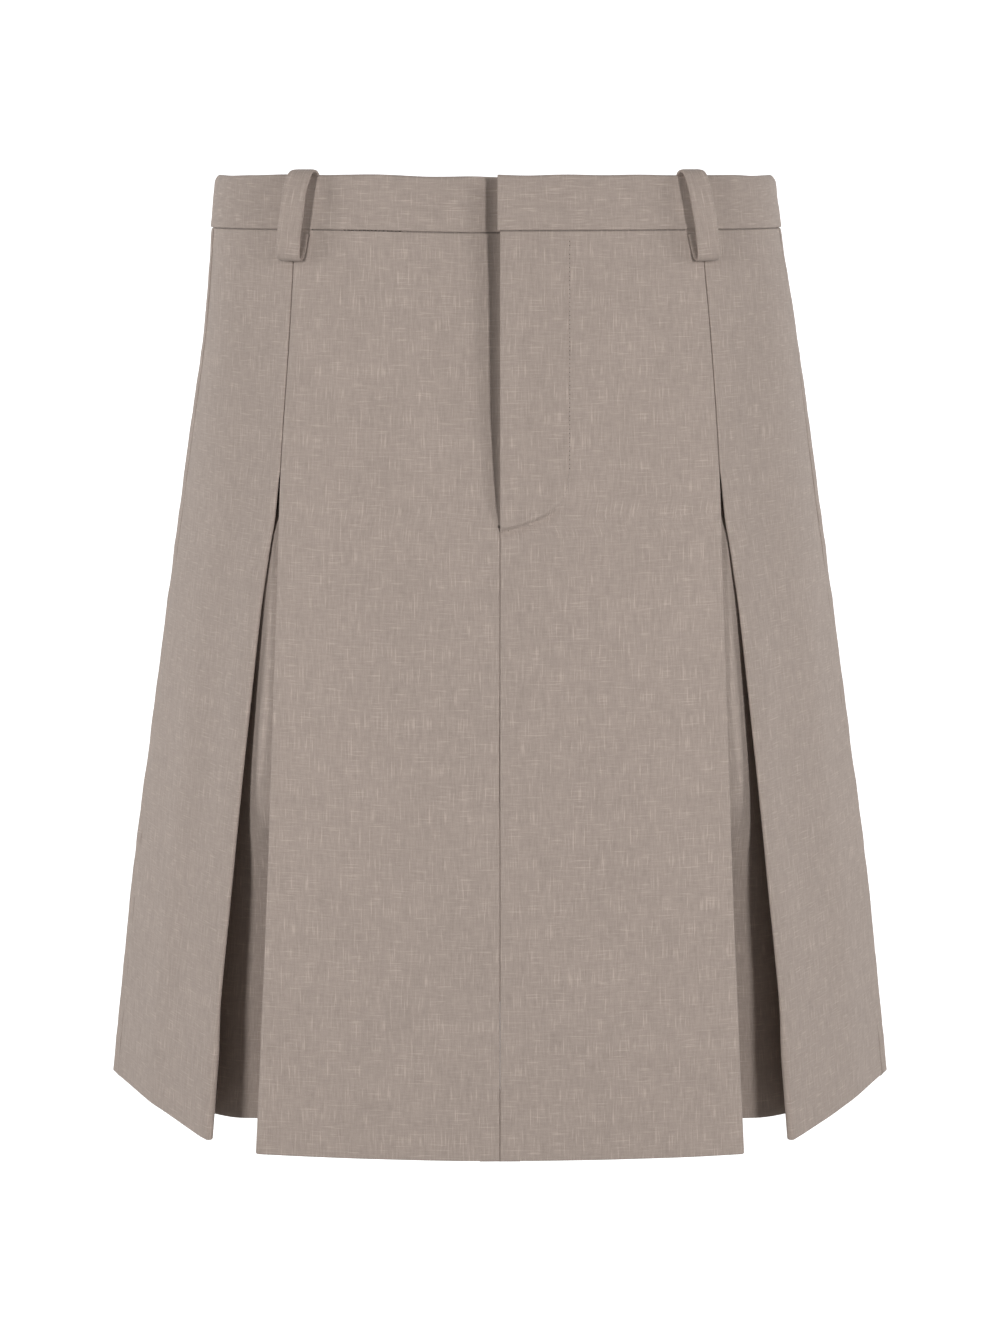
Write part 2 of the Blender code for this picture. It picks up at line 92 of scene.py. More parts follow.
Section = namedtuple("Section", "z front_y fold_x fold_y seam_x seam_y side_bow back_y lean_x")
SECTIONS = (
    Section(16, -98.0, 96.2, -66.5, 138.7, 0.0, 9.5, 98.0, -2.6),
    Section(-14, -101.5, 97.6, -70.5, 142.5, 0.4, 9.2, 103.0, -1.8),
    Section(-60, -108.0, 100.8, -78.5, 148.7, 2.4, 8.5, 112.0, 0.0),
    Section(-122, -117.0, 104.9, -90.0, 158.4, 5.0, 7.0, 124.5, 0.0),
    Section(-180, -123.0, 106.8, -100.5, 167.1, 7.3, 5.8, 134.0, 0.0),
    Section(-250, -129.0, 109.1, -111.0, 177.3, 10.0, 4.6, 142.0, 0.0),
    Section(-340, -134.5, 112.4, -120.0, 190.4, 13.0, 3.2, 150.0, 0.0),
    Section(-449.5, -140.0, 117.9, -129.0, 203.4, 16.2, 2.2, 158.0, 0.0),
)
Pleat = namedtuple("Pleat", "z mouth_x mouth_y depth front_swing side_swing middle_x middle_y")
PLEATS = (
    Pleat(-10, 0.0, 0.0, 9.0, 3.0, 3.0, -3.2, 5.0),
    Pleat(-100, 0.0, 0.0, 9.0, 3.0, 3.0, -3.2, 5.0),
    Pleat(-122, 0.0, 0.0, 12.0, 3.0, 3.0, -3.2, 5.2),
    Pleat(-128, 0.8, 0.1, 13.5, 3.0, 3.0, -3.2, 5.2),
    Pleat(-138, 1.5, 0.4, 16.5, 3.0, 3.0, -3.2, 5.3),
    Pleat(-148, 2.4, 0.8, 19.5, 3.0, 3.0, -3.2, 5.4),
    Pleat(-157, 3.9, 1.4, 22.0, 3.0, 3.0, -3.1, 5.5),
    Pleat(-170, 5.7, 2.4, 25.0, 3.0, 3.0, -2.8, 5.6),
    Pleat(-190, 8.1, 4.0, 29.0, 3.0, 3.5, -2.6, 5.8),
    Pleat(-250, 13.2, 9.0, 34.0, 4.5, 4.0, -2.2, 6.6),
    Pleat(-280, 15.6, 11.2, 35.0, 10.0, 4.5, -1.4, 9.0),
    Pleat(-310, 17.8, 13.2, 36.0, 22.0, 6.0, -2.4, 18.9),
    Pleat(-380, 22.2, 17.3, 37.0, 46.0, 9.0, -4.6, 27.3),
    Pleat(-449.5, 24.8, 21.5, 37.0, 62.0, 10.0, -5.9, 33.5),
)
Fly = namedtuple("Fly", "z depth dip_width")
FLY = (
    Fly(-10, 9.2, 18.5),
    Fly(-43, 7.6, 15.0),
    Fly(-90, 6.8, 13.5),
    Fly(-115, 5.7, 10.8),
    Fly(-132, 4.7, 8.4),
    Fly(-142, 3.2, 5.6),
    Fly(-148, 0.9, 2.4),
)
# A belt loop's path down its middle: height, and distance out from the panels.
LOOP_PATH = (
    *((13.8, -0.5), (15.3, 0.2), (16.2, 1.6), (16.3, 3.2), (15.4, 4.9), (12.6, 6.4), (6.0, 7.3), (-2.0, 7.4)),
    *((-10.0, 7.1), (-17.0, 6.3), (-21.4, 5.4), (-23.0, 4.5), (-23.5, 3.4), (-22.9, 2.4), (-20.8, 1.9)),
    (-11.6, 1.7),
)
# A loop that twists turns to the front where it stands off the waistband.
LoopPlace = namedtuple("LoopPlace", "name side top_turn foot_turn twist")
LOOPS = (
    LoopPlace("belt_loop_front_left", 1, 0.94, 0.99, 0.45),
    LoopPlace("belt_loop_front_right", -1, 0.94, 0.99, 0.45),
    LoopPlace("belt_loop_back_left", 1, 2.50, 2.50, 0.0),
    LoopPlace("belt_loop_back_right", -1, 2.50, 2.50, 0.0),
    LoopPlace("belt_loop_back_centre", 1, 3.0, 3.0, 0.0),
)

# ---- sizes of the real cloth
THIN = 0.65
HEM_RADIUS = 0.75
HEM_DEPTH = 34.0
FOLD_STEPS = 8
PRESSED_RADIUS = 0.75
OPEN_RADIUS = 1.05
HEM_FOLD_RADIUS = 1.95
EDGE_START = 0.02
EDGE_RADIUS = 0.7
EDGE_REACH = 9.0
SEAM_SINK = 0.07
SEAM_SINK_WIDTH = 0.6
EDGE_PROUD = 2.3
EDGE_PROUD_WIDTH = 14.0
ROW_STEP = 3.0
FINE_STEP = 0.9
STITCHED_TO_X = 35.5
FRONT_COLUMNS = 21
SIDE_COLUMNS = 27
BACK_COLUMNS = 90
UNDERLAY_COLUMNS = 30

DITCH_Z = BAND_BOTTOM_Z - 0.15
DITCH_OUT = 0.05
STITCH_PITCH = 2.05
TOOTH_PITCH = 1.4

# ---- camera, from the photograph's perspective
CAMERA_PLACE = (0.0, -1.6, 0.0135)
CAMERA_PITCH = radians(90 - 8.74037)
CAMERA_LENS = 85.66


# ---- the forms
def cubic(start, start_way, end, end_way, t):
    """A place on the cubic from start to end that leaves and arrives with these slopes."""
    return (
        start * (1 + 2 * t) * (1 - t) ** 2
        + start_way * t * (1 - t) ** 2
        + end * t * t * (3 - 2 * t)
        + end_way * t * t * (t - 1)
    )


def smooth(table, column, z):
    """A column at a height, on a cubic through the table's rows whose slopes come from their neighbours."""
    rows = sorted(table, key=lambda row: row.z)
    z = min(max(z, rows[0].z), rows[-1].z)
    low = max(i for i in range(len(rows) - 1) if rows[i].z <= z)

    def value(i):
        return getattr(rows[i], column)

    def slope(i):
        before, after = max(i - 1, 0), min(i + 1, len(rows) - 1)
        return (value(after) - value(before)) / (rows[after].z - rows[before].z)

    span = rows[low + 1].z - rows[low].z
    t = (z - rows[low].z) / span
    return cubic(value(low), slope(low) * span, value(low + 1), slope(low + 1) * span, t)


def eased(t):
    t = min(max(t, 0.0), 1.0)
    return t * t * (3 - 2 * t)


def steps(start, end, count):
    return [start + (end - start) * i / count for i in range(count + 1)]


def angles(count):
    return steps(0, 2 * pi, count)[:-1]


def bell(distance, width):
    return exp(-((distance / width) ** 2))


def wavy(*place):
    return noise.noise(Vector(place))


def mirrored(points):
    return [Vector((-p.x, p.y)) for p in points]


def runs_along(points):
    """How far each point of a line lies along it."""
    runs = [0.0]
    for a, b in zip(points, points[1:]):
        runs.append(runs[-1] + (b - a).length)
    return runs


def at_run(points, runs, run):
    """The place on a line that lies this far along it."""
    k = max(i for i in range(len(runs) - 1) if runs[i] <= run)
    t = (run - runs[k]) / max(runs[k + 1] - runs[k], 1e-9)
    return points[k].lerp(points[k + 1], min(t, 1.0))


def section(z):
    return Section(z, *(smooth(SECTIONS, column, z) for column in Section._fields[1:]))


def pleat(z):
    p = Pleat(z, *(smooth(PLEATS, column, z) for column in Pleat._fields[1:]))
    return p if z < PLEAT_OPENS_Z else p._replace(mouth_x=0.0, mouth_y=0.0)


def fold_radius(z):
    """Pressed flat where the pleat is sewn, softer where it is open, and thick where the hem is turned up."""
    opened = eased((PLEAT_OPENS_Z - z) / 60)
    hemmed = eased((HEM_Z + HEM_DEPTH + 38 - z) / 34)
    radius = PRESSED_RADIUS + (OPEN_RADIUS - PRESSED_RADIUS) * opened
    return radius + (HEM_FOLD_RADIUS - radius) * hemmed


def lean(s, point):
    return Vector((point.x + s.lean_x * (point.x / s.seam_x) ** 2, point.y))


def on_front(s, x):
    return Vector((x, s.front_y + (s.fold_y - s.front_y) * abs(x / s.fold_x) ** FRONT_CURVE))


def on_side(s, t):
    p = pleat(s.z)
    start, end = Vector((s.fold_x + p.mouth_x, s.fold_y + p.mouth_y)), Vector((s.seam_x, s.seam_y))
    chord = (end - start).normalized()
    control = (start + end) / 2 + 2 * s.side_bow * Vector((chord.y, -chord.x))
    return start * (1 - t) ** 2 + 2 * control * t * (1 - t) + end * t * t


def on_back(s, t):
    power = 2 / BACK_CURVE
    x = s.seam_x * max(cos(t * pi / 2), 0.0) ** power
    y = s.seam_y + (s.back_y - s.seam_y) * sin(t * pi / 2) ** power
    grown = eased((BACK_FLUTE_TOP_Z - s.z) / (BACK_FLUTE_TOP_Z - HEM_Z))
    flute = BACK_FLUTE_DEPTH * grown * sin(t * pi / 2) * (cos(BACK_FLUTES * t * pi) - 1) / 2
    return Vector((x, y + flute))


def on_ring(s, turn):
    if turn <= 1:
        return on_front(s, turn * s.fold_x)
    if turn <= 2:
        return on_side(s, turn - 1)
    return on_back(s, turn - 2)


def ways_along(points):
    """The direction of a line at each of its points."""
    ends = zip(points[:1] + points[:-1], points[1:] + points[-1:])
    return [(after - before).normalized() for before, after in ends]


def moved(points, out):
    """The plan points of an anticlockwise line, moved out by a distance, or by one for each point."""
    outs = out if isinstance(out, list) else [out] * len(points)
    return [p + o * Vector((way.y, -way.x)) for p, o, way in zip(points, outs, ways_along(points))]


def off_front(s, x, out):
    """A plan point that stands off the front's right side by a distance."""
    return lean(s, moved([on_front(s, x - 0.5), on_front(s, x), on_front(s, x + 0.5)], out)[1])


def mouth(s):
    edges = on_front(s, s.fold_x), on_side(s, 0)
    front_along = (edges[0] - on_front(s, s.fold_x - 2)).normalized()
    side_along = (on_side(s, 0.02) - edges[1]).normalized()
    radius = fold_radius(s.z)
    half_turn = front_along.angle(side_along) / 2
    sewn = (radius * (1 + sin(half_turn)) + SEAM_GAP / 2) / cos(half_turn)
    open_by = (edges[1] - edges[0]).length
    set_back = max(radius + SEAM_GAP / 2, sewn - open_by / 2)
    return edges[0], front_along, edges[1], side_along, set_back


def folded_under(edge, along, set_back, swing, depth, radius):
    """A fold at the edge of a panel and the depth of cloth behind it, for a panel that runs along +x to it."""
    inward = Vector((-along.y, along.x))
    centre = edge - set_back * along + radius * inward
    turn = pi - radians(swing)
    points = [centre + radius * (sin(a) * along - cos(a) * inward) for a in steps(0, turn, FOLD_STEPS)]
    back = cos(turn) * along + sin(turn) * inward
    return points + [points[-1] + back * d for d in steps(0, depth, 12)[1:]]


def lowered(point, z, lies_under):
    """A row's height at a plan point. It is lower behind, and where a piece lies under at centre front."""
    if point.y > 0:
        drop, fade_z, share = BACK_DROP, BACK_DROP_FADE_Z, point.y / BACK_DROP_REACH
    else:
        drop, fade_z, share = UNDERLAP_DROP, UNDERLAP_DROP_FADE_Z, 1 - abs(point.x) / UNDERLAP_DROP_REACH
        drop = drop if lies_under else 0.0
    near_band = eased((z - fade_z) / (BAND_BOTTOM_Z - fade_z))
    return z - drop * eased(share) * near_band


def curve_through(points, counts, level=0.0):
    """A smooth line through plan points, with its own number of steps between each two.

    Between its ends it runs as much along x as its level share says.
    """
    ways = ways_along(points)
    ways[1:-1] = [way.lerp(Vector((1, 0)), level).normalized() for way in ways[1:-1]]
    line = [points[0]]
    for i, count in enumerate(counts):
        long = (points[i + 1] - points[i]).length
        for t in steps(0, 1, count)[1:]:
            line.append(cubic(points[i], ways[i] * long, points[i + 1], ways[i + 1] * long, t))
    return line


# ---- folds and puckers
# Soft troughs (depth below zero) and ridges of each panel, from one place to another on it: x and z of both, the
# width and the depth.
CREASES = {
    "front_right": (
        (-44, -105, -10, -275, 17, -1.7),
        (-56, -50, -38, -185, 19, -2.0),
        (-36, -268, -18, -345, 20, 1.0),
        (-62, -380, -36, -440, 20, -1.2),
        (-84, -150, -74, -330, 16, 0.7),
    ),
    "front_left": (
        (48, -300, 66, -385, 18, -1.0),
        (40, -360, 52, -430, 17, 1.0),
        (62, -60, 40, -150, 18, -0.6),
        (80, -170, 78, -290, 14, 0.6),
    ),
    "side_front_right": (
        (22, -60, 34, -300, 15, -0.9),
        (60, -200, 72, -430, 17, 1.1),
    ),
    "side_front_left": (
        (26, -90, 30, -330, 14, -0.8),
        (66, -160, 84, -420, 17, 1.1),
    ),
    "back": (
        (-70, -40, -95, -250, 20, -1.3),
        (60, -50, 84, -230, 18, -1.1),
        (8, -120, -14, -330, 22, -0.9),
        (-130, -200, -150, -420, 20, 1.2),
        (128, -180, 156, -400, 22, 1.3),
        (40, -300, 62, -440, 18, 1.0),
    ),
}


def crease_at(panel, x, z):
    total = 0.0
    for x0, z0, x1, z1, width, depth in CREASES[panel]:
        dx, dz = x1 - x0, z1 - z0
        long = hypot(dx, dz)
        along = ((x - x0) * dx + (z - z0) * dz) / long / long
        if not -0.35 < along < 1.35:
            continue
        across = ((x - x0) * dz - (z - z0) * dx) / long
        ends = eased((along + 0.35) / 0.6) * eased((1.35 - along) / 0.6)
        total += depth * ends * bell(across, width)
    return total


def unevenness(x, z, seed):
    """Slow ripples of cloth that hangs, in millimetres."""
    slow = wavy(x / 62, z / 110, seed)
    quick = wavy(x / 19, z / 34, seed + 7.3)
    return 0.95 * slow + 0.15 * quick


def pucker(distance, along, seed, pitch=9.0):
    """Small gathers beside a line of sewing, which fade with the distance from it."""
    wave = wavy(along / pitch, seed, 0.4)
    return 0.30 * wave * bell(distance, 5.0)


# ---- making meshes
def placed(name, data):
    obj = bpy.data.objects.new(name, data)
    bpy.context.scene.collection.objects.link(obj)
    return obj


def piece_of(mesh, material, smooth=True):
    """A piece of the skirt from its mesh, which rides on root."""
    obj = placed(mesh.name, mesh)
    mesh.materials.append(material)
    if smooth:
        mesh.shade_smooth()
    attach(obj, "root")
    return obj


def mesh_of(name, verts, faces, flat=None):
    """A mesh of vertices in millimetres, with their places on the flat cloth as its UV map, where given."""
    mesh = bpy.data.meshes.new(name)
    mesh.from_pydata([v * MM for v in verts], [], faces)
    if flat:
        layer = mesh.uv_layers.new(name="cloth")
        for loop in mesh.loops:
            u, v = flat[loop.vertex_index]
            layer.data[loop.index].uv = (u * MM, v * MM)
    return mesh


def tube_faces(first, rings, around):
    """The faces of a tube of rings of vertices from the first one on, closed at both ends."""
    faces = []
    for base in range(first, first + (rings - 1) * around, around):
        for k in range(around):
            n = (k + 1) % around
            faces.append([base + k, base + n, base + around + n, base + around + k])
    end = first + (rings - 1) * around
    return faces + [[first + k for k in range(around)][::-1], [end + k for k in range(around)]]


def cloth(name, rows, material, origin=0, thickness=THIN, straight=None, snip=None):
    """A piece of cloth from rows of right-side points in millimetres.

    Its UV map is the flat cloth in metres: u runs across from the origin column and v down along it. straight
    names a row whose run gives u in every row, with the grain along it. Below the snip row, the columns from
    the snip column on are cut free of the row above.
    """
    count = len(rows[0])
    flat, faces, v = [], [], 0.0
    for i, row in enumerate(rows):
        if i:
            v += (row[origin] - rows[i - 1][origin]).length
        measured = rows[straight] if straight is not None else row
        across = [0.0] * count
        for j in range(origin + 1, count):
            across[j] = across[j - 1] + (measured[j] - measured[j - 1]).length
        for j in range(origin - 1, -1, -1):
            across[j] = across[j + 1] - (measured[j + 1] - measured[j]).length
        flat += [(v, u) if straight is not None else (u, v) for u in across]
    for i in range(len(rows) - 1):
        for j in range(count - 1):
            if snip is None or i != snip[0] or j < snip[1]:
                a, b = i * count + j, (i + 1) * count + j
                faces.append([a, b, b + 1, a + 1])
    mesh = mesh_of(name, [p for row in rows for p in row], faces, flat)
    obj = piece_of(mesh, material)
    wall = obj.modifiers.new("wall", "SOLIDIFY")
    wall.thickness = thickness * MM
    wall.offset = -1
    return obj


def in_space(points, z, lies_under=False):
    return [Vector((p.x, p.y, lowered(p, z, lies_under))) for p in points]


def panel_path():
    """The rows of a panel: height, distance out, and how much the panel's relief counts there.

    The top is sewn inside the waistband, and the hem is turned up behind the panel.
    """
    seam = BAND_BOTTOM_Z
    path = [(-5.0, -0.85, 0.0), (-8.5, -0.85, 0.0), (seam - 0.1, -1.25, 0.0), (seam - 0.35, -1.05, 0.0)]
    path += [(seam - 0.46, -0.5, 0.0), (seam - 0.6, -0.12, 0.1), (seam - 0.95, 0.0, 0.4), (seam - 2.4, 0.0, 0.8)]
    starts = (-15.0, -25.8, -133.0, -156.0, HEM_Z + HEM_RADIUS)
    path.append((starts[0], 0.0, 1.0))
    for start, end, step in zip(starts, starts[1:], (FINE_STEP, ROW_STEP, FINE_STEP, ROW_STEP)):
        path += [(z, 0.0, 1.0) for z in steps(start, end, round((start - end) / step))[1:]]
    for a in steps(0, pi, 6)[1:]:
        path.append((HEM_Z + HEM_RADIUS * (1 - sin(a)), -HEM_RADIUS * (1 - cos(a)), 1.0))
    path += [(z, -2 * HEM_RADIUS, 1.0) for z in steps(HEM_Z + HEM_RADIUS, HEM_Z + HEM_DEPTH, 11)[1:]]
    return path


# ---- the panels
def front_xs(fold_start):
    """Columns from centre front to the fold, as many in every row: fine at the edge and at the stitching."""
    xs = [0.15, 0.5, 1.0, 1.8, 3.0] + steps(4.0, 30.5, 24)[:-1] + steps(30.5, STITCHED_TO_X, 7)
    return xs + steps(STITCHED_TO_X, fold_start, FRONT_COLUMNS)[1:-1]


FRONT_SIDES = {"front_left": 1, "front_right": -1}
# Places in x and z along the line of the J's stitches, from the waist seam to its foot at the fly's edge.
J_STITCH = (
    *((32.8, -13.0), (32.8, -60.0), (32.8, -121.0), (31.6, -130.0), (28.6, -137.6)),
    *((24.0, -142.4), (17.0, -145.8), (9.0, -148.6), (1.6, -150.2)),
)
J_TURN_TOP_Z = -123
J_FOOT_TO_X = 26


def to_path(x, z, path):
    """Distance from a place to a path of straight pieces, how far along the path that is, and the side."""
    best = (1e9, 0.0, 1.0)
    run = 0.0
    for (x0, z0), (x1, z1) in zip(path, path[1:]):
        dx, dz = x1 - x0, z1 - z0
        long = hypot(dx, dz)
        t = min(max(((x - x0) * dx + (z - z0) * dz) / long / long, 0.0), 1.0)
        gap = hypot(x - x0 - t * dx, z - z0 - t * dz)
        side = 1.0 if dx * (z - z0) - dz * (x - x0) > 0 else -1.0
        if gap < best[0]:
            best = (gap, run + t * long, side)
        run += long
    return best


def allowance_ridge(x, z, reach=8.5):
    """The edge of the turned seam allowance shows softly below the waist seam."""
    edge = BAND_BOTTOM_Z - 0.8 - reach
    shown = 0.5 + 0.5 * wavy(x / 30, 3.1, 0.0)
    return shown * (0.34 * bell(z - edge, 1.5) - 0.24 * bell(z - edge + 2.6, 1.5))


def front_relief(name, x, z):
    out = crease_at(name, x, z) + unevenness(x, z, 2.0 if x > 0 else 5.0) + allowance_ridge(x, z)
    out += pucker(abs(x), z, 1.0) * (1.0 if z < FLY_END_Z else 0.3)
    if name == "front_left" and z > FLY_END_Z - 10:
        gap, run, side = to_path(x, z, J_STITCH)
        out -= 0.14 * bell(gap, 0.9)
        # The bottom of the J is sewn through the fly and pulls in a puckered crease.
        bottom = eased((run - 120) / 14)
        ripple = 0.8 + 0.8 * wavy(run / 2.2, 8.0, 0.0)
        out -= bottom * (1.5 * ripple * bell(gap, 1.05) + 0.9 * bell(gap, 3.6))
        out += 1.5 * bottom * bell(gap * -side - 2.6, 2.1)
    return out


def front_line(s, xs, name, z_relief, weight):
    """The front's right side, its fold and folded-under edge, for the half at +X, with the panel's relief."""
    edge, along, _, _, set_back = mouth(s)
    p = pleat(s.z)
    side = FRONT_SIDES[name]
    flat = [on_front(s, x) for x in xs]
    relief = [weight * front_relief(name, side * x, z_relief) for x in xs]
    near_fold = [eased((s.fold_x - x) / QUIET_WIDTH) for x in xs]
    raised = moved(flat + [edge], [r * n for r, n in zip(relief, near_fold)] + [0.0])[:-1]
    radius = fold_radius(s.z)
    return raised + folded_under(edge, along, set_back, p.front_swing, p.depth, radius)


def edge_fold(s, name, relief_z, weight, out, lift, lift_width):
    """Plan points that fold a front's edge under at centre front, from the inner end out to the right side.

    The front is nearly flat here, so outwards is -Y. The fold follows the relief and the lift of its panel.
    """
    side = FRONT_SIDES[name]
    radius = EDGE_RADIUS
    pairs = [(EDGE_START + radius + d, -2 * radius) for d in steps(EDGE_REACH, 0, 4)[:-1]]
    pairs += [(EDGE_START + radius * (1 - sin(a)), -radius * (1 - cos(a))) for a in steps(pi, 0, 6)]
    points = []
    for x, behind in pairs:
        relief = weight * front_relief(name, side * x, relief_z)
        lifted = lift * eased(1 - x / lift_width)
        points.append(on_front(s, x) - Vector((0, behind + relief + out + lifted)))
    return points


# Each front's first columns are the last points of its folded edge.
SHARED_COLUMNS = 2
# Over this last stretch beside a fold or a seam, a panel's relief dies away.
QUIET_WIDTH = 12


def front_left_rows():
    rows = []
    for z, out, weight in panel_path():
        s = section(z)
        xs = front_xs(s.fold_x - mouth(s)[-1])
        in_fly = eased((z - FLY_END_Z) / 60)
        proud = [EDGE_PROUD * in_fly * eased(1 - x / EDGE_PROUD_WIDTH) for x in xs]
        line = front_line(s, xs, "front_left", z, weight)
        line = moved(line, [out + p for p in proud] + [out] * (len(line) - len(xs)))
        fold = edge_fold(s, "front_left", z, weight, out, EDGE_PROUD * in_fly, EDGE_PROUD_WIDTH)
        rows.append(in_space([lean(s, p) for p in fold + line[SHARED_COLUMNS:]], z))
    return rows, len(fold)


def front_right_rows():
    """Dips near centre front, and runs on behind the fly as an underlap. Below the fly its edge folds under.

    The underlap's last row and the folded edge's first row are cut apart at a snip.
    """
    rows = []
    path = panel_path()
    last_in_fly = max(i for i, row in enumerate(path) if row[0] > FLY_END_Z)
    for i, (z, out, weight) in enumerate(path):
        s = section(z)
        depth = smooth(FLY, "depth", z) * eased((z - FLY_END_Z + 6) / 6)
        dip = smooth(FLY, "dip_width", z)
        xs = front_xs(s.fold_x - mouth(s)[-1])
        line = front_line(s, xs, "front_right", z, weight)
        outs = [-depth * eased(1 - p.x / dip) if k < len(xs) else 0.0 for k, p in enumerate(line)]
        line = moved(line, [o + out for o in outs])
        right = [lean(s, p) for p in mirrored(line[::-1])][:-SHARED_COLUMNS]
        edge = edge_fold(s, "front_right", z, weight, out, -depth, dip)
        if i <= last_in_fly:
            behind = [on_front(s, x) for x in steps(0.8, UNDERLAP_WIDTH, len(edge) - 1)]
            more = moved(behind, -depth + min(out, 0.0))
        else:
            more = mirrored(edge[::-1])
        rows.append(in_space(right + more, z, True))
    return rows, (last_in_fly, len(right) - 1)


def side_line(s):
    _, _, edge, along, set_back = mouth(s)
    p = pleat(s.z)
    width = (on_side(s, 1) - edge).length
    mirror_edge, mirror_along = Vector((-edge.x, edge.y)), Vector((along.x, -along.y))
    under = folded_under(mirror_edge, mirror_along, set_back, p.side_swing, p.depth, fold_radius(s.z))
    under = mirrored(under[::-1])
    return under, set_back / width, width


def seam_sink(distance):
    """How far the cloth dips into a side seam."""
    return -SEAM_SINK * (1 - min(distance / SEAM_SINK_WIDTH, 1.0)) ** 2


def pressed_back(last, before, way):
    """The allowance that lies pressed behind a side seam, for a line that ends (1) or starts (-1) there."""
    along = (before - last).normalized()
    inward = way * Vector((along.y, -along.x))
    turn = [last + inward * 0.5 - along * 0.02, last + inward * 0.9 + along * 0.5]
    return turn + [last + inward * 1.0 + along * d for d in (2.0, 5.0, 9.0)]


def side_front_rows(name, side):
    rows = []
    for z, out, weight in panel_path():
        s = section(z)
        under, start, width = side_line(s)
        ts = steps(start, 1 - 3.0 / width, SIDE_COLUMNS)[1:]
        ts += [1 - d / width for d in (1.6, 0.9, 0.4, 0.03)]
        outs = []
        for t in ts:
            x = t * width
            relief = crease_at(name, x, z) + unevenness(side * (x + 100), z, 9.0) + allowance_ridge(x + 150, z)
            relief *= eased(x / 10) * eased((width - x) / QUIET_WIDTH)
            relief = weight * (relief + pucker(width - x, z, 3.0)) * eased(x / 6)
            outs.append(out + (relief + seam_sink((1 - t) * width)))
        line = moved(under + [on_side(s, t) for t in ts], [out] * len(under) + outs)
        line += pressed_back(line[-1], line[-4], 1)
        line = [lean(s, Vector((side * p.x, p.y))) for p in line]
        rows.append(in_space(line if side > 0 else line[::-1], z))
    return rows, len(under)


def lapped(end, before, middle):
    back = (end - before).normalized()
    run = (middle - end).normalized()
    away = Vector((-run.y, run.x))
    wrong_side = Vector((-back.y, back.x))
    if away.y < 0:
        away = -away
    if wrong_side.y > 0:
        wrong_side = -wrong_side
    clear = LAYER_GAP + THIN * max(0.0, wrong_side.dot(away))
    return end + clear * away - UNDERLAY_LAP * run


# How close the pressed underlay lies behind the front's fold and the side's fold, high in the pleat.
Lie = namedtuple("Lie", "z front_gap side_gap")
LIES = (
    Lie(-132, 3.4, 3.4),
    Lie(-175, 3.4, 2.8),
    Lie(-215, 3.8, 3.9),
    Lie(-250, 5.0, 5.5),
    Lie(-281, 9.5, 8.3),
    Lie(-310, 19.5, 14.5),
)


def underlay_line(s):
    edge, along, side_edge, _, set_back = mouth(s)
    p = pleat(s.z)
    front = folded_under(edge, along, set_back, p.front_swing, p.depth, fold_radius(s.z))
    under, _, _ = side_line(s)
    middle = (edge + side_edge) / 2 + Vector((p.middle_x, p.middle_y))
    start, end = lapped(front[-1], front[-2], middle), lapped(under[0], under[1], middle)
    half = UNDERLAY_COLUMNS // 2
    slack = curve_through((start, middle, end), (half, half), eased((-270 - s.z) / 60))
    wide = side_edge.x - edge.x
    near = edge + Vector((0.25 * wide, smooth(LIES, "front_gap", s.z)))
    far = side_edge + Vector((-0.3 * wide, smooth(LIES, "side_gap", s.z)))
    pressed = curve_through((start, near, far, end), (11, UNDERLAY_COLUMNS - 22, 11))
    share = eased((-132 - s.z) / 22) * eased((s.z + 330) / 45)
    return [a.lerp(b, share) for a, b in zip(slack, pressed)]


def underlay_rows(side):
    rows = []
    for z, out, weight in panel_path():
        if z > PLEAT_TOP_Z:
            continue
        line = underlay_line(section(z))
        ripple = [out + weight * 0.4 * wavy(k / 7, z / 60, 40.0 + side) for k in range(len(line))]
        line = [Vector((side * q.x, q.y)) for q in moved(line, ripple)]
        raised = z + UNDERLAY_HEM_RISE * eased((HEM_Z + 2 * HEM_DEPTH - z) / HEM_DEPTH)
        rows.append(in_space(line if side > 0 else line[::-1], raised))
    return rows


def back_rows():
    rows = []
    for z, out, weight in panel_path():
        s = section(z)
        half = [on_back(s, t) for t in steps(0, 1, BACK_COLUMNS)]
        first = (half[1] - half[0]).length
        half = [half[0].lerp(half[1], min(d / first, 0.9)) for d in (0.03, 0.45, 0.9)] + half[1:]
        ring = half + mirrored(half[-2::-1])
        runs = runs_along(ring)
        centre = runs[len(runs) // 2]
        outs = []
        for u in runs:
            x, from_seam = centre - u, min(u, runs[-1] - u)
            relief = crease_at("back", x, z) + unevenness(x, z, 13.0) + allowance_ridge(x + 400, z)
            relief *= eased(from_seam / QUIET_WIDTH)
            outs.append(out + weight * (relief + pucker(from_seam, z, 3.5)) + seam_sink(from_seam))
        line = moved(ring, outs)
        line = pressed_back(line[0], line[3], -1)[::-1] + line + pressed_back(line[-1], line[-4], 1)
        rows.append(in_space([lean(s, p) for p in line], z))
    return rows


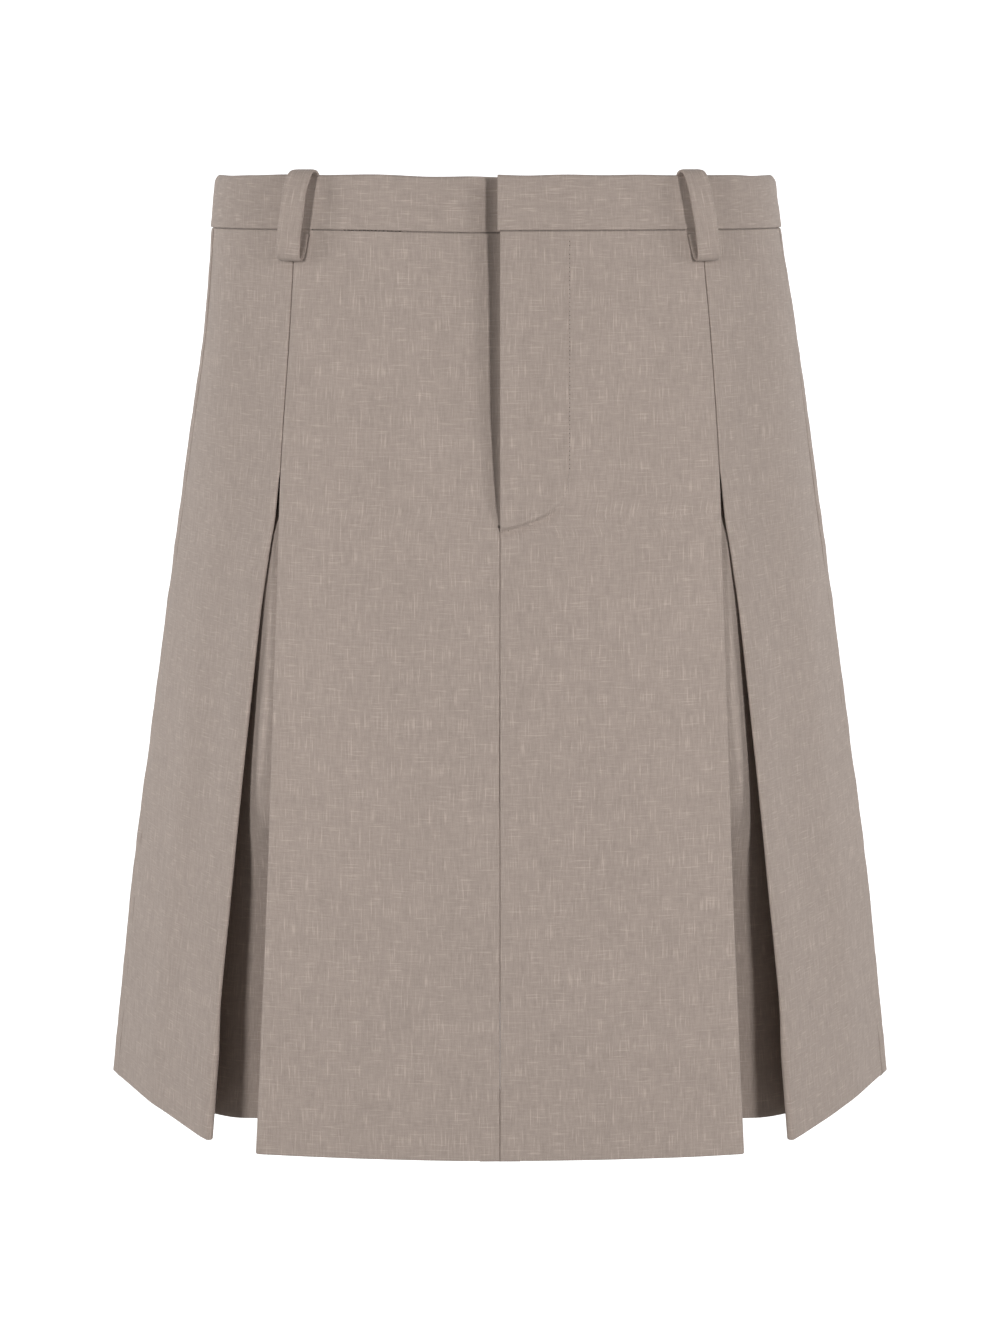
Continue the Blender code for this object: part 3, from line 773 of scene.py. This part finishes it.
# ---- waistband
def band_path():
    """The folded strip in section: up inside the waist, over the top fold and down the outside.

    Each row is a pair of (height, distance out): where the band stands upright, and at the sides, where its top
    rolls in on a soft corner. Both have the same number of rows.
    """
    cap = BAND_CLOTH / 2
    top = BAND_TOP_Z - cap
    foot_z = BAND_BOTTOM_Z + 1.6
    foot = ((0.9, 0.01), (0.4, 0.08), (0.1, 0.30), (0.0, 0.62))
    foot = [(BAND_BOTTOM_Z + up, -inside) for up, inside in foot]
    upright = [(z, -BAND_CLOTH) for z in steps(BAND_BOTTOM_Z, top, 8)[:-1]]
    upright += [(top + cap * sin(a), -cap - cap * cos(a)) for a in steps(0, pi, 10)]
    upright += [(z, 0.0) for z in steps(top, foot_z, 16)[1:]] + foot

    roll = radians(45)
    outer, inner = BAND_CORNER_RADIUS, BAND_CORNER_RADIUS - BAND_CLOTH
    centre_z = BAND_TOP_Z - cap - (outer - cap) * sin(roll)
    cap_z, cap_in = centre_z + (outer - cap) * sin(roll), outer - (outer - cap) * cos(roll)
    rolled = [(z, -BAND_CLOTH) for z in steps(BAND_BOTTOM_Z, centre_z, 5)[:-1]]
    rolled += [(centre_z + inner * sin(a), inner * cos(a) - outer) for a in steps(0, roll, 3)[:-1]]
    rolled += [(cap_z + cap * sin(a), -cap_in - cap * cos(a)) for a in steps(-roll, pi - roll, 10)]
    rolled += [(centre_z + outer * sin(a), outer * cos(a) - outer) for a in steps(roll, 0, 5)[1:]]
    rolled += [(z, 0.0) for z in steps(centre_z, foot_z, 11)[1:]] + foot
    return list(zip(upright, rolled))


def rolled_share(turn):
    """How much the band's top rolls in at a turn round the half section: wholly at the side, not in front."""
    if turn <= 1:
        return 0.0
    return turn - 1 if turn <= 2 else max(cos((turn - 2) * pi / 2), 0.0)


# Creases along the waistband: where each starts and ends round it, its height and its depth.
BAND_CREASES = (
    (46, 118, 5.5, 0.26),
    (14, 70, 0.4, 0.18),
    (22, 58, 9.5, 0.12),
    (-88, -30, 8.0, 0.20),
    (-70, -12, 2.4, 0.22),
    (-50, -8, -4.0, 0.14),
    (290, 380, 3.0, 0.20),
    (200, 270, -2.0, 0.18),
)


def band_ripple(run, z):
    """Faint creases along the band and small waves of its top edge."""
    ripple = 0.0
    for start, end, crease_z, depth in BAND_CREASES:
        inside = eased((run - start) / 12) * eased((end - run) / 12)
        ripple -= depth * inside * bell(z - crease_z, 1.4)
    return ripple + 0.20 * wavy(run / 26, z / 7, 20.0) + 0.07 * wavy(run / 9, z / 2.5, 3.0)


def waistband_rows():
    turns = steps(0, 1, 40) + steps(1, 2, 28)[1:] + steps(2, 3, 52)[1:]
    lap_xs = steps(-DIP_WIDTH_TOP, 0.0, 12)[:-1] + steps(0.0, LAP_WIDTH, 12)
    mirrored_from = next(i for i, turn in enumerate(turns) if turn > 0.2)
    rows = []
    for (z, out), (rolled_z, rolled_out) in band_path():
        half = []
        for turn in turns:
            share = rolled_share(turn)
            own_z = z + share * (rolled_z - z)
            p = on_ring(section(own_z), turn)
            half.append((Vector((p.x + share * (rolled_out - out), p.y)), own_z))
        s = section(z)
        left = [(on_front(s, x), z) for x in (BAND_END_X, BAND_END_X + 0.25, BAND_END_X + 0.7)] + half
        right = [(Vector((-p.x, p.y)), own_z) for p, own_z in reversed(half[mirrored_from:-1])]
        dipping = [(on_front(s, x), z) for x in lap_xs]
        columns = left + right + dipping
        outs = []
        for k, (p, own_z) in enumerate(columns):
            run = p.x if p.y < 0 else 300 + p.x
            outer = eased((out + BAND_CLOTH) / BAND_CLOTH) * eased((own_z - BAND_BOTTOM_Z) / 3)
            o = out + BAND_PROUD + outer * band_ripple(run, own_z)
            if k >= len(left + right):
                o -= (BAND_LAP_DEPTH + 1.2) * eased(1 + p.x / DIP_WIDTH_TOP)
                o -= 3.2 * eased(1 - abs(p.x + 3) / 15)
            elif k < LAPPED_COLUMNS:
                # The lapped end stands a little proud, and is pinched flat at its very edge.
                o += EDGE_PROUD * eased(1 - p.x / EDGE_PROUD_WIDTH)
                pinch = 0.55 * (1 - min((p.x - BAND_END_X) / 1.4, 1.0)) ** 2
                o += (BAND_PROUD - BAND_CLOTH / 2 + EDGE_PROUD - o) * pinch
            outs.append(o)
        line = moved([p for p, _ in columns], outs)
        points = []
        for k, (p, (_, own_z)) in enumerate(zip(line, columns)):
            p = lean(s, p)
            height = lowered(p, own_z, k >= len(left))
            wave = 0.5 * eased((own_z - 8) / 7) * wavy(p.x / 24, p.y / 24, 31.0)
            points.append(Vector((p.x, p.y, height + wave)))
        rows.append(points)
    return rows


# ---- belt loops
def loop_path(count):
    """The loop's path in (z, out), smooth through its points and evenly spaced, and its length."""
    points = [Vector(place) for place in LOOP_PATH]
    dense = []
    for i in range(len(points) - 1):
        p0, p1 = points[max(i - 1, 0)], points[i]
        p2, p3 = points[i + 1], points[min(i + 2, len(points) - 1)]
        for t in steps(0, 1, 8)[:-1]:
            bend, twist = 2 * p0 - 5 * p1 + 4 * p2 - p3, 3 * p1 - p0 - 3 * p2 + p3
            dense.append(0.5 * ((2 * p1) + (p2 - p0) * t + bend * t * t + twist * t**3))
    dense.append(points[-1])
    runs = runs_along(dense)
    return [at_run(dense, runs, run) for run in steps(0, runs[-1], count)], runs[-1]


def belt_loop(place, material):
    """A flat tube of folded cloth with soft edges, square to its own slanting path."""
    path, length = loop_path(84)
    around = 24
    half_width, half_thick = LOOP_WIDTH / 2, LOOP_THICKNESS / 2
    top, foot = max(LOOP_PATH)[0], min(LOOP_PATH)[0]
    centres, sideways = [], []
    for q in path:
        s = section(q.x)
        turn = place.top_turn + (place.foot_turn - place.top_turn) * (top - q.x) / (top - foot)
        middle = on_ring(s, turn)
        ahead = on_ring(s, turn + 0.02) if turn < 3 else middle - Vector((1, 0))
        along = (ahead - middle).normalized()
        p = middle + Vector((along.y, -along.x)) * q.y
        centres.append(Vector((p.x, p.y, q.x)))
        stands_off = eased((q.y - 2.0) / 4)
        along = (along + place.twist * stands_off * Vector((1, 0))).normalized()
        sideways.append(Vector((along.x, along.y, 0)))
    verts, flat = [], []
    for i, (centre, along, run) in enumerate(zip(centres, sideways, ways_along(centres))):
        wide = (along - run * along.dot(run)).normalized()
        thick = wide.cross(run).normalized()
        centre = centre - thick * half_thick
        swell = 1 + 0.12 * wavy(i / 9, place.top_turn * 5 + place.side, 2.0)
        bow = 0.3 * wavy(i / 14, place.side * 3.0, place.top_turn * 9)
        for a in angles(around):
            c, d = cos(a), sin(a)
            across = copysign(half_width * abs(c) ** 0.3, c) + bow
            deep = copysign(half_thick * swell * abs(d) ** 0.7, d)
            p = centre + wide * across + thick * deep
            q = lean(section(p.z), Vector((place.side * p.x, p.y)))
            verts.append(Vector((q.x, q.y, lowered(q, p.z, False))))
            flat.append((across + (20 if d < 0 else 0), length * i / len(path)))
    faces = tube_faces(0, len(path), around)
    if place.side < 0:
        faces = [f[::-1] for f in faces]
    obj = piece_of(mesh_of(place.name + "_strip", verts, faces, flat), material)
    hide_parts(place.name)
    return obj


# ---- stitches
def along_places(places):
    """A function from a run along (point, outward) pairs to the point, outward, along and across there.

    The whole run comes with it.
    """
    points, outwards = zip(*places)
    runs = runs_along(points)

    def at(run):
        point, outward = at_run(points, runs, run), at_run(outwards, runs, run).normalized()
        along = (at_run(points, runs, run + 0.2) - point).normalized()
        return point, outward, along, along.cross(outward).normalized()

    return at, runs[-1]


def stitch_line(name, places, material, length=1.45, width=0.2):
    """Short threads along a line of places in millimetres, each dipping in at both ends."""
    at, whole = along_places(places)
    verts, faces = [], []
    rings, around = 5, 6
    start = 0.6
    while start + length < whole:
        faces += tube_faces(len(verts), rings, around)
        for share in steps(0, 1, rings - 1):
            point, outward, _, wide = at(start + length * share)
            bulge = sin(pi * share)
            centre = point + outward * (width * 0.8 * bulge - 0.12 * (1 - bulge))
            size = width * (0.45 + 0.55 * bulge)
            for a in angles(around):
                verts.append(centre + wide * (size * cos(a)) + outward * (size * 0.8 * sin(a)))
        start += STITCH_PITCH
    return piece_of(mesh_of(name, verts, faces), material)


def painted_needle_hole_shade(name, places, material, radius=0.26, long=1.0):
    """Small dimples coloured dark as painted shade, where the needle has drawn the cloth in between two stitches.
    """
    at, whole = along_places(places)
    verts, faces = [], []
    around = 8
    run = 0.33
    while run < whole:
        faces += tube_faces(len(verts), 3, around)
        point, outward, along, wide = at(run)
        for lift, size in ((-0.1, 1.0), (0.05, 0.8), (0.07, 0.3)):
            for a in angles(around):
                spread = wide * (radius * size * cos(a)) + along * (radius * long * size * sin(a))
                verts.append(point + spread + outward * lift)
        run += STITCH_PITCH
    return piece_of(mesh_of(name, verts, faces), material, smooth=False)


def front_place(name, x, z):
    """A place on the front's right side with its relief, and its outward direction."""
    side = FRONT_SIDES[name]

    def point(px, pz):
        p = off_front(section(pz), px, front_relief(name, side * px, pz))
        return Vector((side * p.x, p.y, lowered(p, pz, side < 0)))

    here = point(x, z)
    across = point(x + 0.6, z) - here
    down = point(x, z - 0.6) - here
    return here, down.cross(across).normalized()


def j_places():
    places = []
    for (x0, z0), (x1, z1) in zip(J_STITCH, J_STITCH[1:]):
        count = max(2, round(hypot(x1 - x0, z1 - z0) / 2))
        for t in steps(0, 1, count)[:-1]:
            places.append(front_place("front_left", x0 + (x1 - x0) * t, z0 + (z1 - z0) * t))
    return places


def ditch_places():
    """Along the waist seam of the right front, where its stitches sink into the groove and dark marks of painted
    shade show there.
    """
    places = []
    for x in steps(-74, -46, 14):
        s = section(DITCH_Z)
        p = lean(s, on_front(s, -x))
        places.append((Vector((x, p.y - DITCH_OUT, lowered(p, DITCH_Z, True))), Vector((0, -1, 0))))
    return places


# ---- zip
def zip_place(z, x, out):
    p = off_front(section(z), x, out)
    return Vector((p.x, p.y, z))


def zip_teeth(material):
    """Coil teeth on both tapes, which mesh along the chain."""
    verts, faces = [], []
    for k in range(round((ZIP_TOP_Z - ZIP_END_Z - 4) / TOOTH_PITCH)):
        side = 1 if k % 2 else -1
        centre = zip_place(ZIP_TOP_Z - 3 - k * TOOTH_PITCH, ZIP_MIDDLE_X + side * 0.7, ZIP_OUT - 1.0)
        faces += tube_faces(len(verts), 2, 6)
        for dx in (-1.4, 1.4):
            verts += [centre + Vector((dx, 0.55 * cos(a), 0.55 * sin(a))) for a in angles(6)]
    return piece_of(mesh_of("zip_teeth", verts, faces), material, smooth=False)


def rounded_block(name, centre, size, tilt, material, bevel=0.6):
    """A block of metal with rounded edges, in millimetres."""
    shape = bmesh.new()
    bmesh.ops.create_cube(shape, size=1)
    for v in shape.verts:
        v.co = Vector([v.co[k] * size[k] for k in range(3)])
    bmesh.ops.bevel(shape, geom=list(shape.edges), offset=bevel, segments=3, affect="EDGES", profile=0.5)
    turn = Matrix.Rotation(tilt, 3, "X")
    for v in shape.verts:
        v.co = (turn @ v.co + centre) * MM
    mesh = bpy.data.meshes.new(name)
    shape.to_mesh(mesh)
    shape.free()
    return piece_of(mesh, material)


# ---- materials
def fill(made, inputs):
    """Give a node's inputs their values, or links from the outputs of other nodes."""
    for key, value in inputs.items():
        if isinstance(value, bpy.types.NodeSocket):
            made.id_data.links.new(value, made.inputs[key])
        else:
            made.inputs[key].default_value = value


def node(tree, kind, inputs, **settings):
    made = tree.nodes.new(kind)
    made.location = (-200 * len(tree.nodes), -300)
    for key, value in settings.items():
        setattr(made, key, value)
    fill(made, inputs)
    return made


def maths(tree, operation, *inputs):
    return node(tree, "ShaderNodeMath", dict(enumerate(inputs)), operation=operation).outputs[0]


def shaded(name, values):
    """A material whose shader has these values, and the shader."""
    made = bpy.data.materials.new(name)
    made.use_nodes = True
    shader = made.node_tree.nodes["Principled BSDF"]
    fill(shader, values)
    return made, shader


# Layers of yarn: features per metre along u and v, the noise's detail, the weight, and whether it is sparse slubs.
YARNS = (
    ((1250.0, 150.0, 1.0), 2.0, 0.28, False),
    ((170.0, 1250.0, 1.0), 2.0, 0.22, False),
    ((520.0, 60.0, 1.0), 1.0, 0.14, False),
    ((2300.0, 2300.0, 1.0), 1.0, 0.22, False),
    ((150.0, 110.0, 1.0), 2.0, 0.10, False),
    ((34.0, 24.0, 1.0), 2.0, 0.08, False),
    ((1500.0, 90.0, 1.0), 0.0, 0.22, True),
    ((95.0, 1500.0, 1.0), 0.0, 0.17, True),
)
# A light slub shows where its noise passes the first value, and is strongest at the second.
SLUB_START, SLUB_FULL = 0.64, 0.80
YARN_PITCH = 0.00076


def suiting(name, base):
    """Fine plain-weave melange: streaks of lighter and darker yarn down the cloth, slubs across, and a weave."""
    matt = {"Roughness": 0.88, "Specular IOR Level": 0.22, "Sheen Weight": 0.10, "Sheen Roughness": 0.55}
    made, shader = shaded(name, matt)
    tree = made.node_tree
    source = node(tree, "ShaderNodeUVMap", {}, uv_map="cloth").outputs["UV"]
    total = None
    for scale, detail, weight, sparse in YARNS:
        place = node(tree, "ShaderNodeMapping", {"Vector": source, "Scale": scale}).outputs["Vector"]
        noisy = node(tree, "ShaderNodeTexNoise", {"Vector": place, "Scale": 1.0, "Detail": detail}).outputs["Fac"]
        ends = (SLUB_START, SLUB_FULL, 0.0, weight) if sparse else (0.0, 1.0, -0.5 * weight, 0.5 * weight)
        ends = dict(zip(("From Min", "From Max", "To Min", "To Max"), ends))
        part = node(tree, "ShaderNodeMapRange", {"Value": noisy, **ends}).outputs["Result"]
        total = part if total is None else maths(tree, "ADD", total, part)
    ramp = {"Value": total, "From Min": -0.30, "From Max": 0.30}
    ramp = node(tree, "ShaderNodeMapRange", ramp).outputs["Result"]
    dark, pale = ((*(c * share for c in base), 1) for share in (0.66, 1.34))
    mix = node(tree, "ShaderNodeMix", {"A": dark, "B": pale, "Factor": ramp}, data_type="RGBA")

    # Over-and-under relief of the yarns.
    split = node(tree, "ShaderNodeSeparateXYZ", {0: source}).outputs
    waves = [maths(tree, "SINE", maths(tree, "MULTIPLY", split[axis], 2 * pi / YARN_PITCH)) for axis in "XY"]
    height = maths(tree, "MULTIPLY_ADD", maths(tree, "MULTIPLY", *waves), 0.35, ramp)
    bump = node(tree, "ShaderNodeBump", {"Strength": 0.22, "Distance": 0.00016, "Height": height})
    fill(shader, {"Base Color": mix.outputs["Result"], "Normal": bump.outputs["Normal"]})
    return made


def plain(name, colour, roughness, metallic=0.0):
    return shaded(name, {"Base Color": (*colour, 1), "Roughness": roughness, "Metallic": metallic})[0]


cloth_material = suiting("suiting_cloth", (0.375, 0.309, 0.270))
thread = plain("sewing_thread", (0.40, 0.335, 0.295), 0.7)
# Near-black brown of painted shade, for the dimples where the needle draws the cloth in.
painted_dimple_shade = plain("needle_dimples_painted_shade", (0.10, 0.078, 0.066), 0.9)
tape = plain("zip_tape_cloth", (0.30, 0.25, 0.215), 0.85)
teeth = plain("zip_coil", (0.27, 0.225, 0.195), 0.5)
metal = plain("dull_nickel", (0.55, 0.55, 0.56), 0.38, 1.0)


# ---- camera, lights and stage
camera_data = bpy.data.cameras.new("camera")
camera = placed("camera", camera_data)
camera.location = CAMERA_PLACE
camera.rotation_euler = (CAMERA_PITCH, 0, 0)
camera_data.lens = CAMERA_LENS
camera_data.sensor_width = 36.0
camera_data.clip_start, camera_data.clip_end = 0.01, 50.0
bpy.context.scene.camera = camera

world = bpy.data.worlds.new("studio")
bpy.context.scene.world = world
world.use_nodes = True
fill(world.node_tree.nodes["Background"], {"Color": (1.0, 1.0, 1.0, 1), "Strength": 0.09})


LIGHTS_AIM_AT = Vector((0, 0, -0.26))
LIGHTS_DISTANCE = 2.6


def soft_light(name, azimuth, elevation, size, power):
    data = bpy.data.lights.new(name, "AREA")
    data.shape = "RECTANGLE"
    data.size, data.size_y = size
    data.energy = power
    data.spread = radians(80)
    light = placed(name, data)
    a, e = radians(azimuth), radians(elevation)
    way = Vector((sin(a) * cos(e), -cos(a) * cos(e), sin(e)))
    light.location = LIGHTS_AIM_AT + way * LIGHTS_DISTANCE
    light.rotation_euler = way.to_track_quat("Z", "Y").to_euler()
    return light


for side, word in ((-1, "left"), (1, "right")):
    soft_light("key_light_" + word, azimuth=side * 34, elevation=11, size=(0.35, 0.7), power=5.9)
    soft_light("side_light_" + word, azimuth=side * 92, elevation=10, size=(0.9, 1.4), power=4.4)


def strip_of_floor(name, profile, wide, glow):
    verts = [Vector((side * wide, y, z)) / MM for y, z in profile for side in (-1, 1)]
    faces = [[2 * i, 2 * i + 1, 2 * i + 3, 2 * i + 2] for i in range(len(profile) - 1)]
    mesh = mesh_of(name, verts, faces)
    mesh.shade_smooth()
    paper = {"Base Color": (0.5, 0.5, 0.5, 1), "Roughness": 0.9, "Specular IOR Level": 0.0}
    paper.update({"Emission Color": (1, 1, 1, 1), "Emission Strength": glow})
    mesh.materials.append(shaded(name + "_paper", paper)[0])
    placed(name, mesh)


def floor_and_backdrop():
    """A pale floor well below the skirt, and a bright paper behind it that sweeps up from the floor."""
    floor_z, front_y, seam_y, back_y, top_z, radius, wide = -0.95, -4.0, 0.85, 2.6, 4.5, 0.8, 7.0
    strip_of_floor("floor", [(front_y, floor_z), (seam_y, floor_z)], wide, 0.0)
    sweep = [(seam_y, floor_z), (back_y - radius, floor_z)]
    for a in steps(0, pi / 2, 14)[1:]:
        sweep.append((back_y - radius + radius * sin(a), floor_z + radius * (1 - cos(a))))
    strip_of_floor("backdrop", sweep + [(back_y, top_z)], wide, 1.02)


floor_and_backdrop()
bpy.context.scene.view_settings.view_transform = "Standard"


def panel(name, rows, origin, held="hung", rests_on=("waistband_cloth",), with_pieces=(), **choices):
    """A cloth piece that stands for the solid of the same name."""
    piece = cloth(name + "_cloth", rows, cloth_material, origin, **choices)
    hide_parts(name)


fly_line = j_places()
j_pieces = [stitch_line("j_stitching", fly_line, thread)]
# Its needle holes are drawn in down the straight and at the foot, as dark dimples of painted shade, and hardly
# show round the turn.
straight = [place for place in fly_line if place[0].z > J_TURN_TOP_Z]
foot = [place for place in fly_line if place[0].x < J_FOOT_TO_X]
j_pieces.append(painted_needle_hole_shade("j_stitch_dimple_shade", straight, painted_dimple_shade))
j_pieces.append(painted_needle_hole_shade("j_foot_dimple_shade", foot, painted_dimple_shade))
rows, origin = front_left_rows()
panel("front_left", rows, origin, with_pieces=j_pieces)

rows, snip = front_right_rows()
panel("front_right", rows, snip[1], snip=snip)

for side, word in ((1, "left"), (-1, "right")):
    name = "side_front_" + word
    rows, fold = side_front_rows(name, side)
    panel(name, rows, fold if side > 0 else len(rows[0]) - 1 - fold)
    panel("pleat_underlay_" + word, underlay_rows(side), UNDERLAY_COLUMNS // 2, rests_on=[name + "_cloth"])

rows = back_rows()
panel("back", rows, len(rows[0]) // 2)

# Dark marks of painted shade along the waist seam's groove, where the stitches sink in.
seam_groove_shade = painted_needle_hole_shade("waist_seam_groove_shade", ditch_places(), painted_dimple_shade, radius=0.3, long=1.9)
panel("waistband", waistband_rows(), 0, "folded", rests_on=(), with_pieces=[seam_groove_shade], straight=BAND_GRAIN_ROW)

for place in LOOPS:
    belt_loop(place, cloth_material)

chain = [zip_teeth(teeth)]
slider_z = -27.0
slider = zip_place(slider_z, ZIP_MIDDLE_X, ZIP_OUT - 1.1)
tilt = (zip_place(slider_z - 5, ZIP_MIDDLE_X, 0).y - zip_place(slider_z + 5, ZIP_MIDDLE_X, 0).y) / 10
chain.append(rounded_block("zip_slider", slider, (7.0, 2.6, 9.0), tilt, metal))
pull = zip_place(slider_z - 8, ZIP_MIDDLE_X, ZIP_OUT + 0.75)
chain.append(rounded_block("zip_pull", pull, (3.6, 0.9, 13.0), tilt, metal, 0.4))
tapes = (("inner", ZIP_INNER_X, ZIP_MIDDLE_X - 0.4), ("outer", ZIP_MIDDLE_X + 0.4, ZIP_OUTER_X))
for word, inner, outer in tapes:
    rows = [[zip_place(z, x, ZIP_OUT) for x in steps(inner, outer, 5)] for z in steps(ZIP_TOP_Z, ZIP_END_Z, 33)]
    half = cloth("zip_tape_" + word, rows, tape, thickness=0.5)
    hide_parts("fly_zip")
    chain = []

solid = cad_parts["waist_hook"]
solid.data.materials.clear()
solid.data.materials.append(metal)
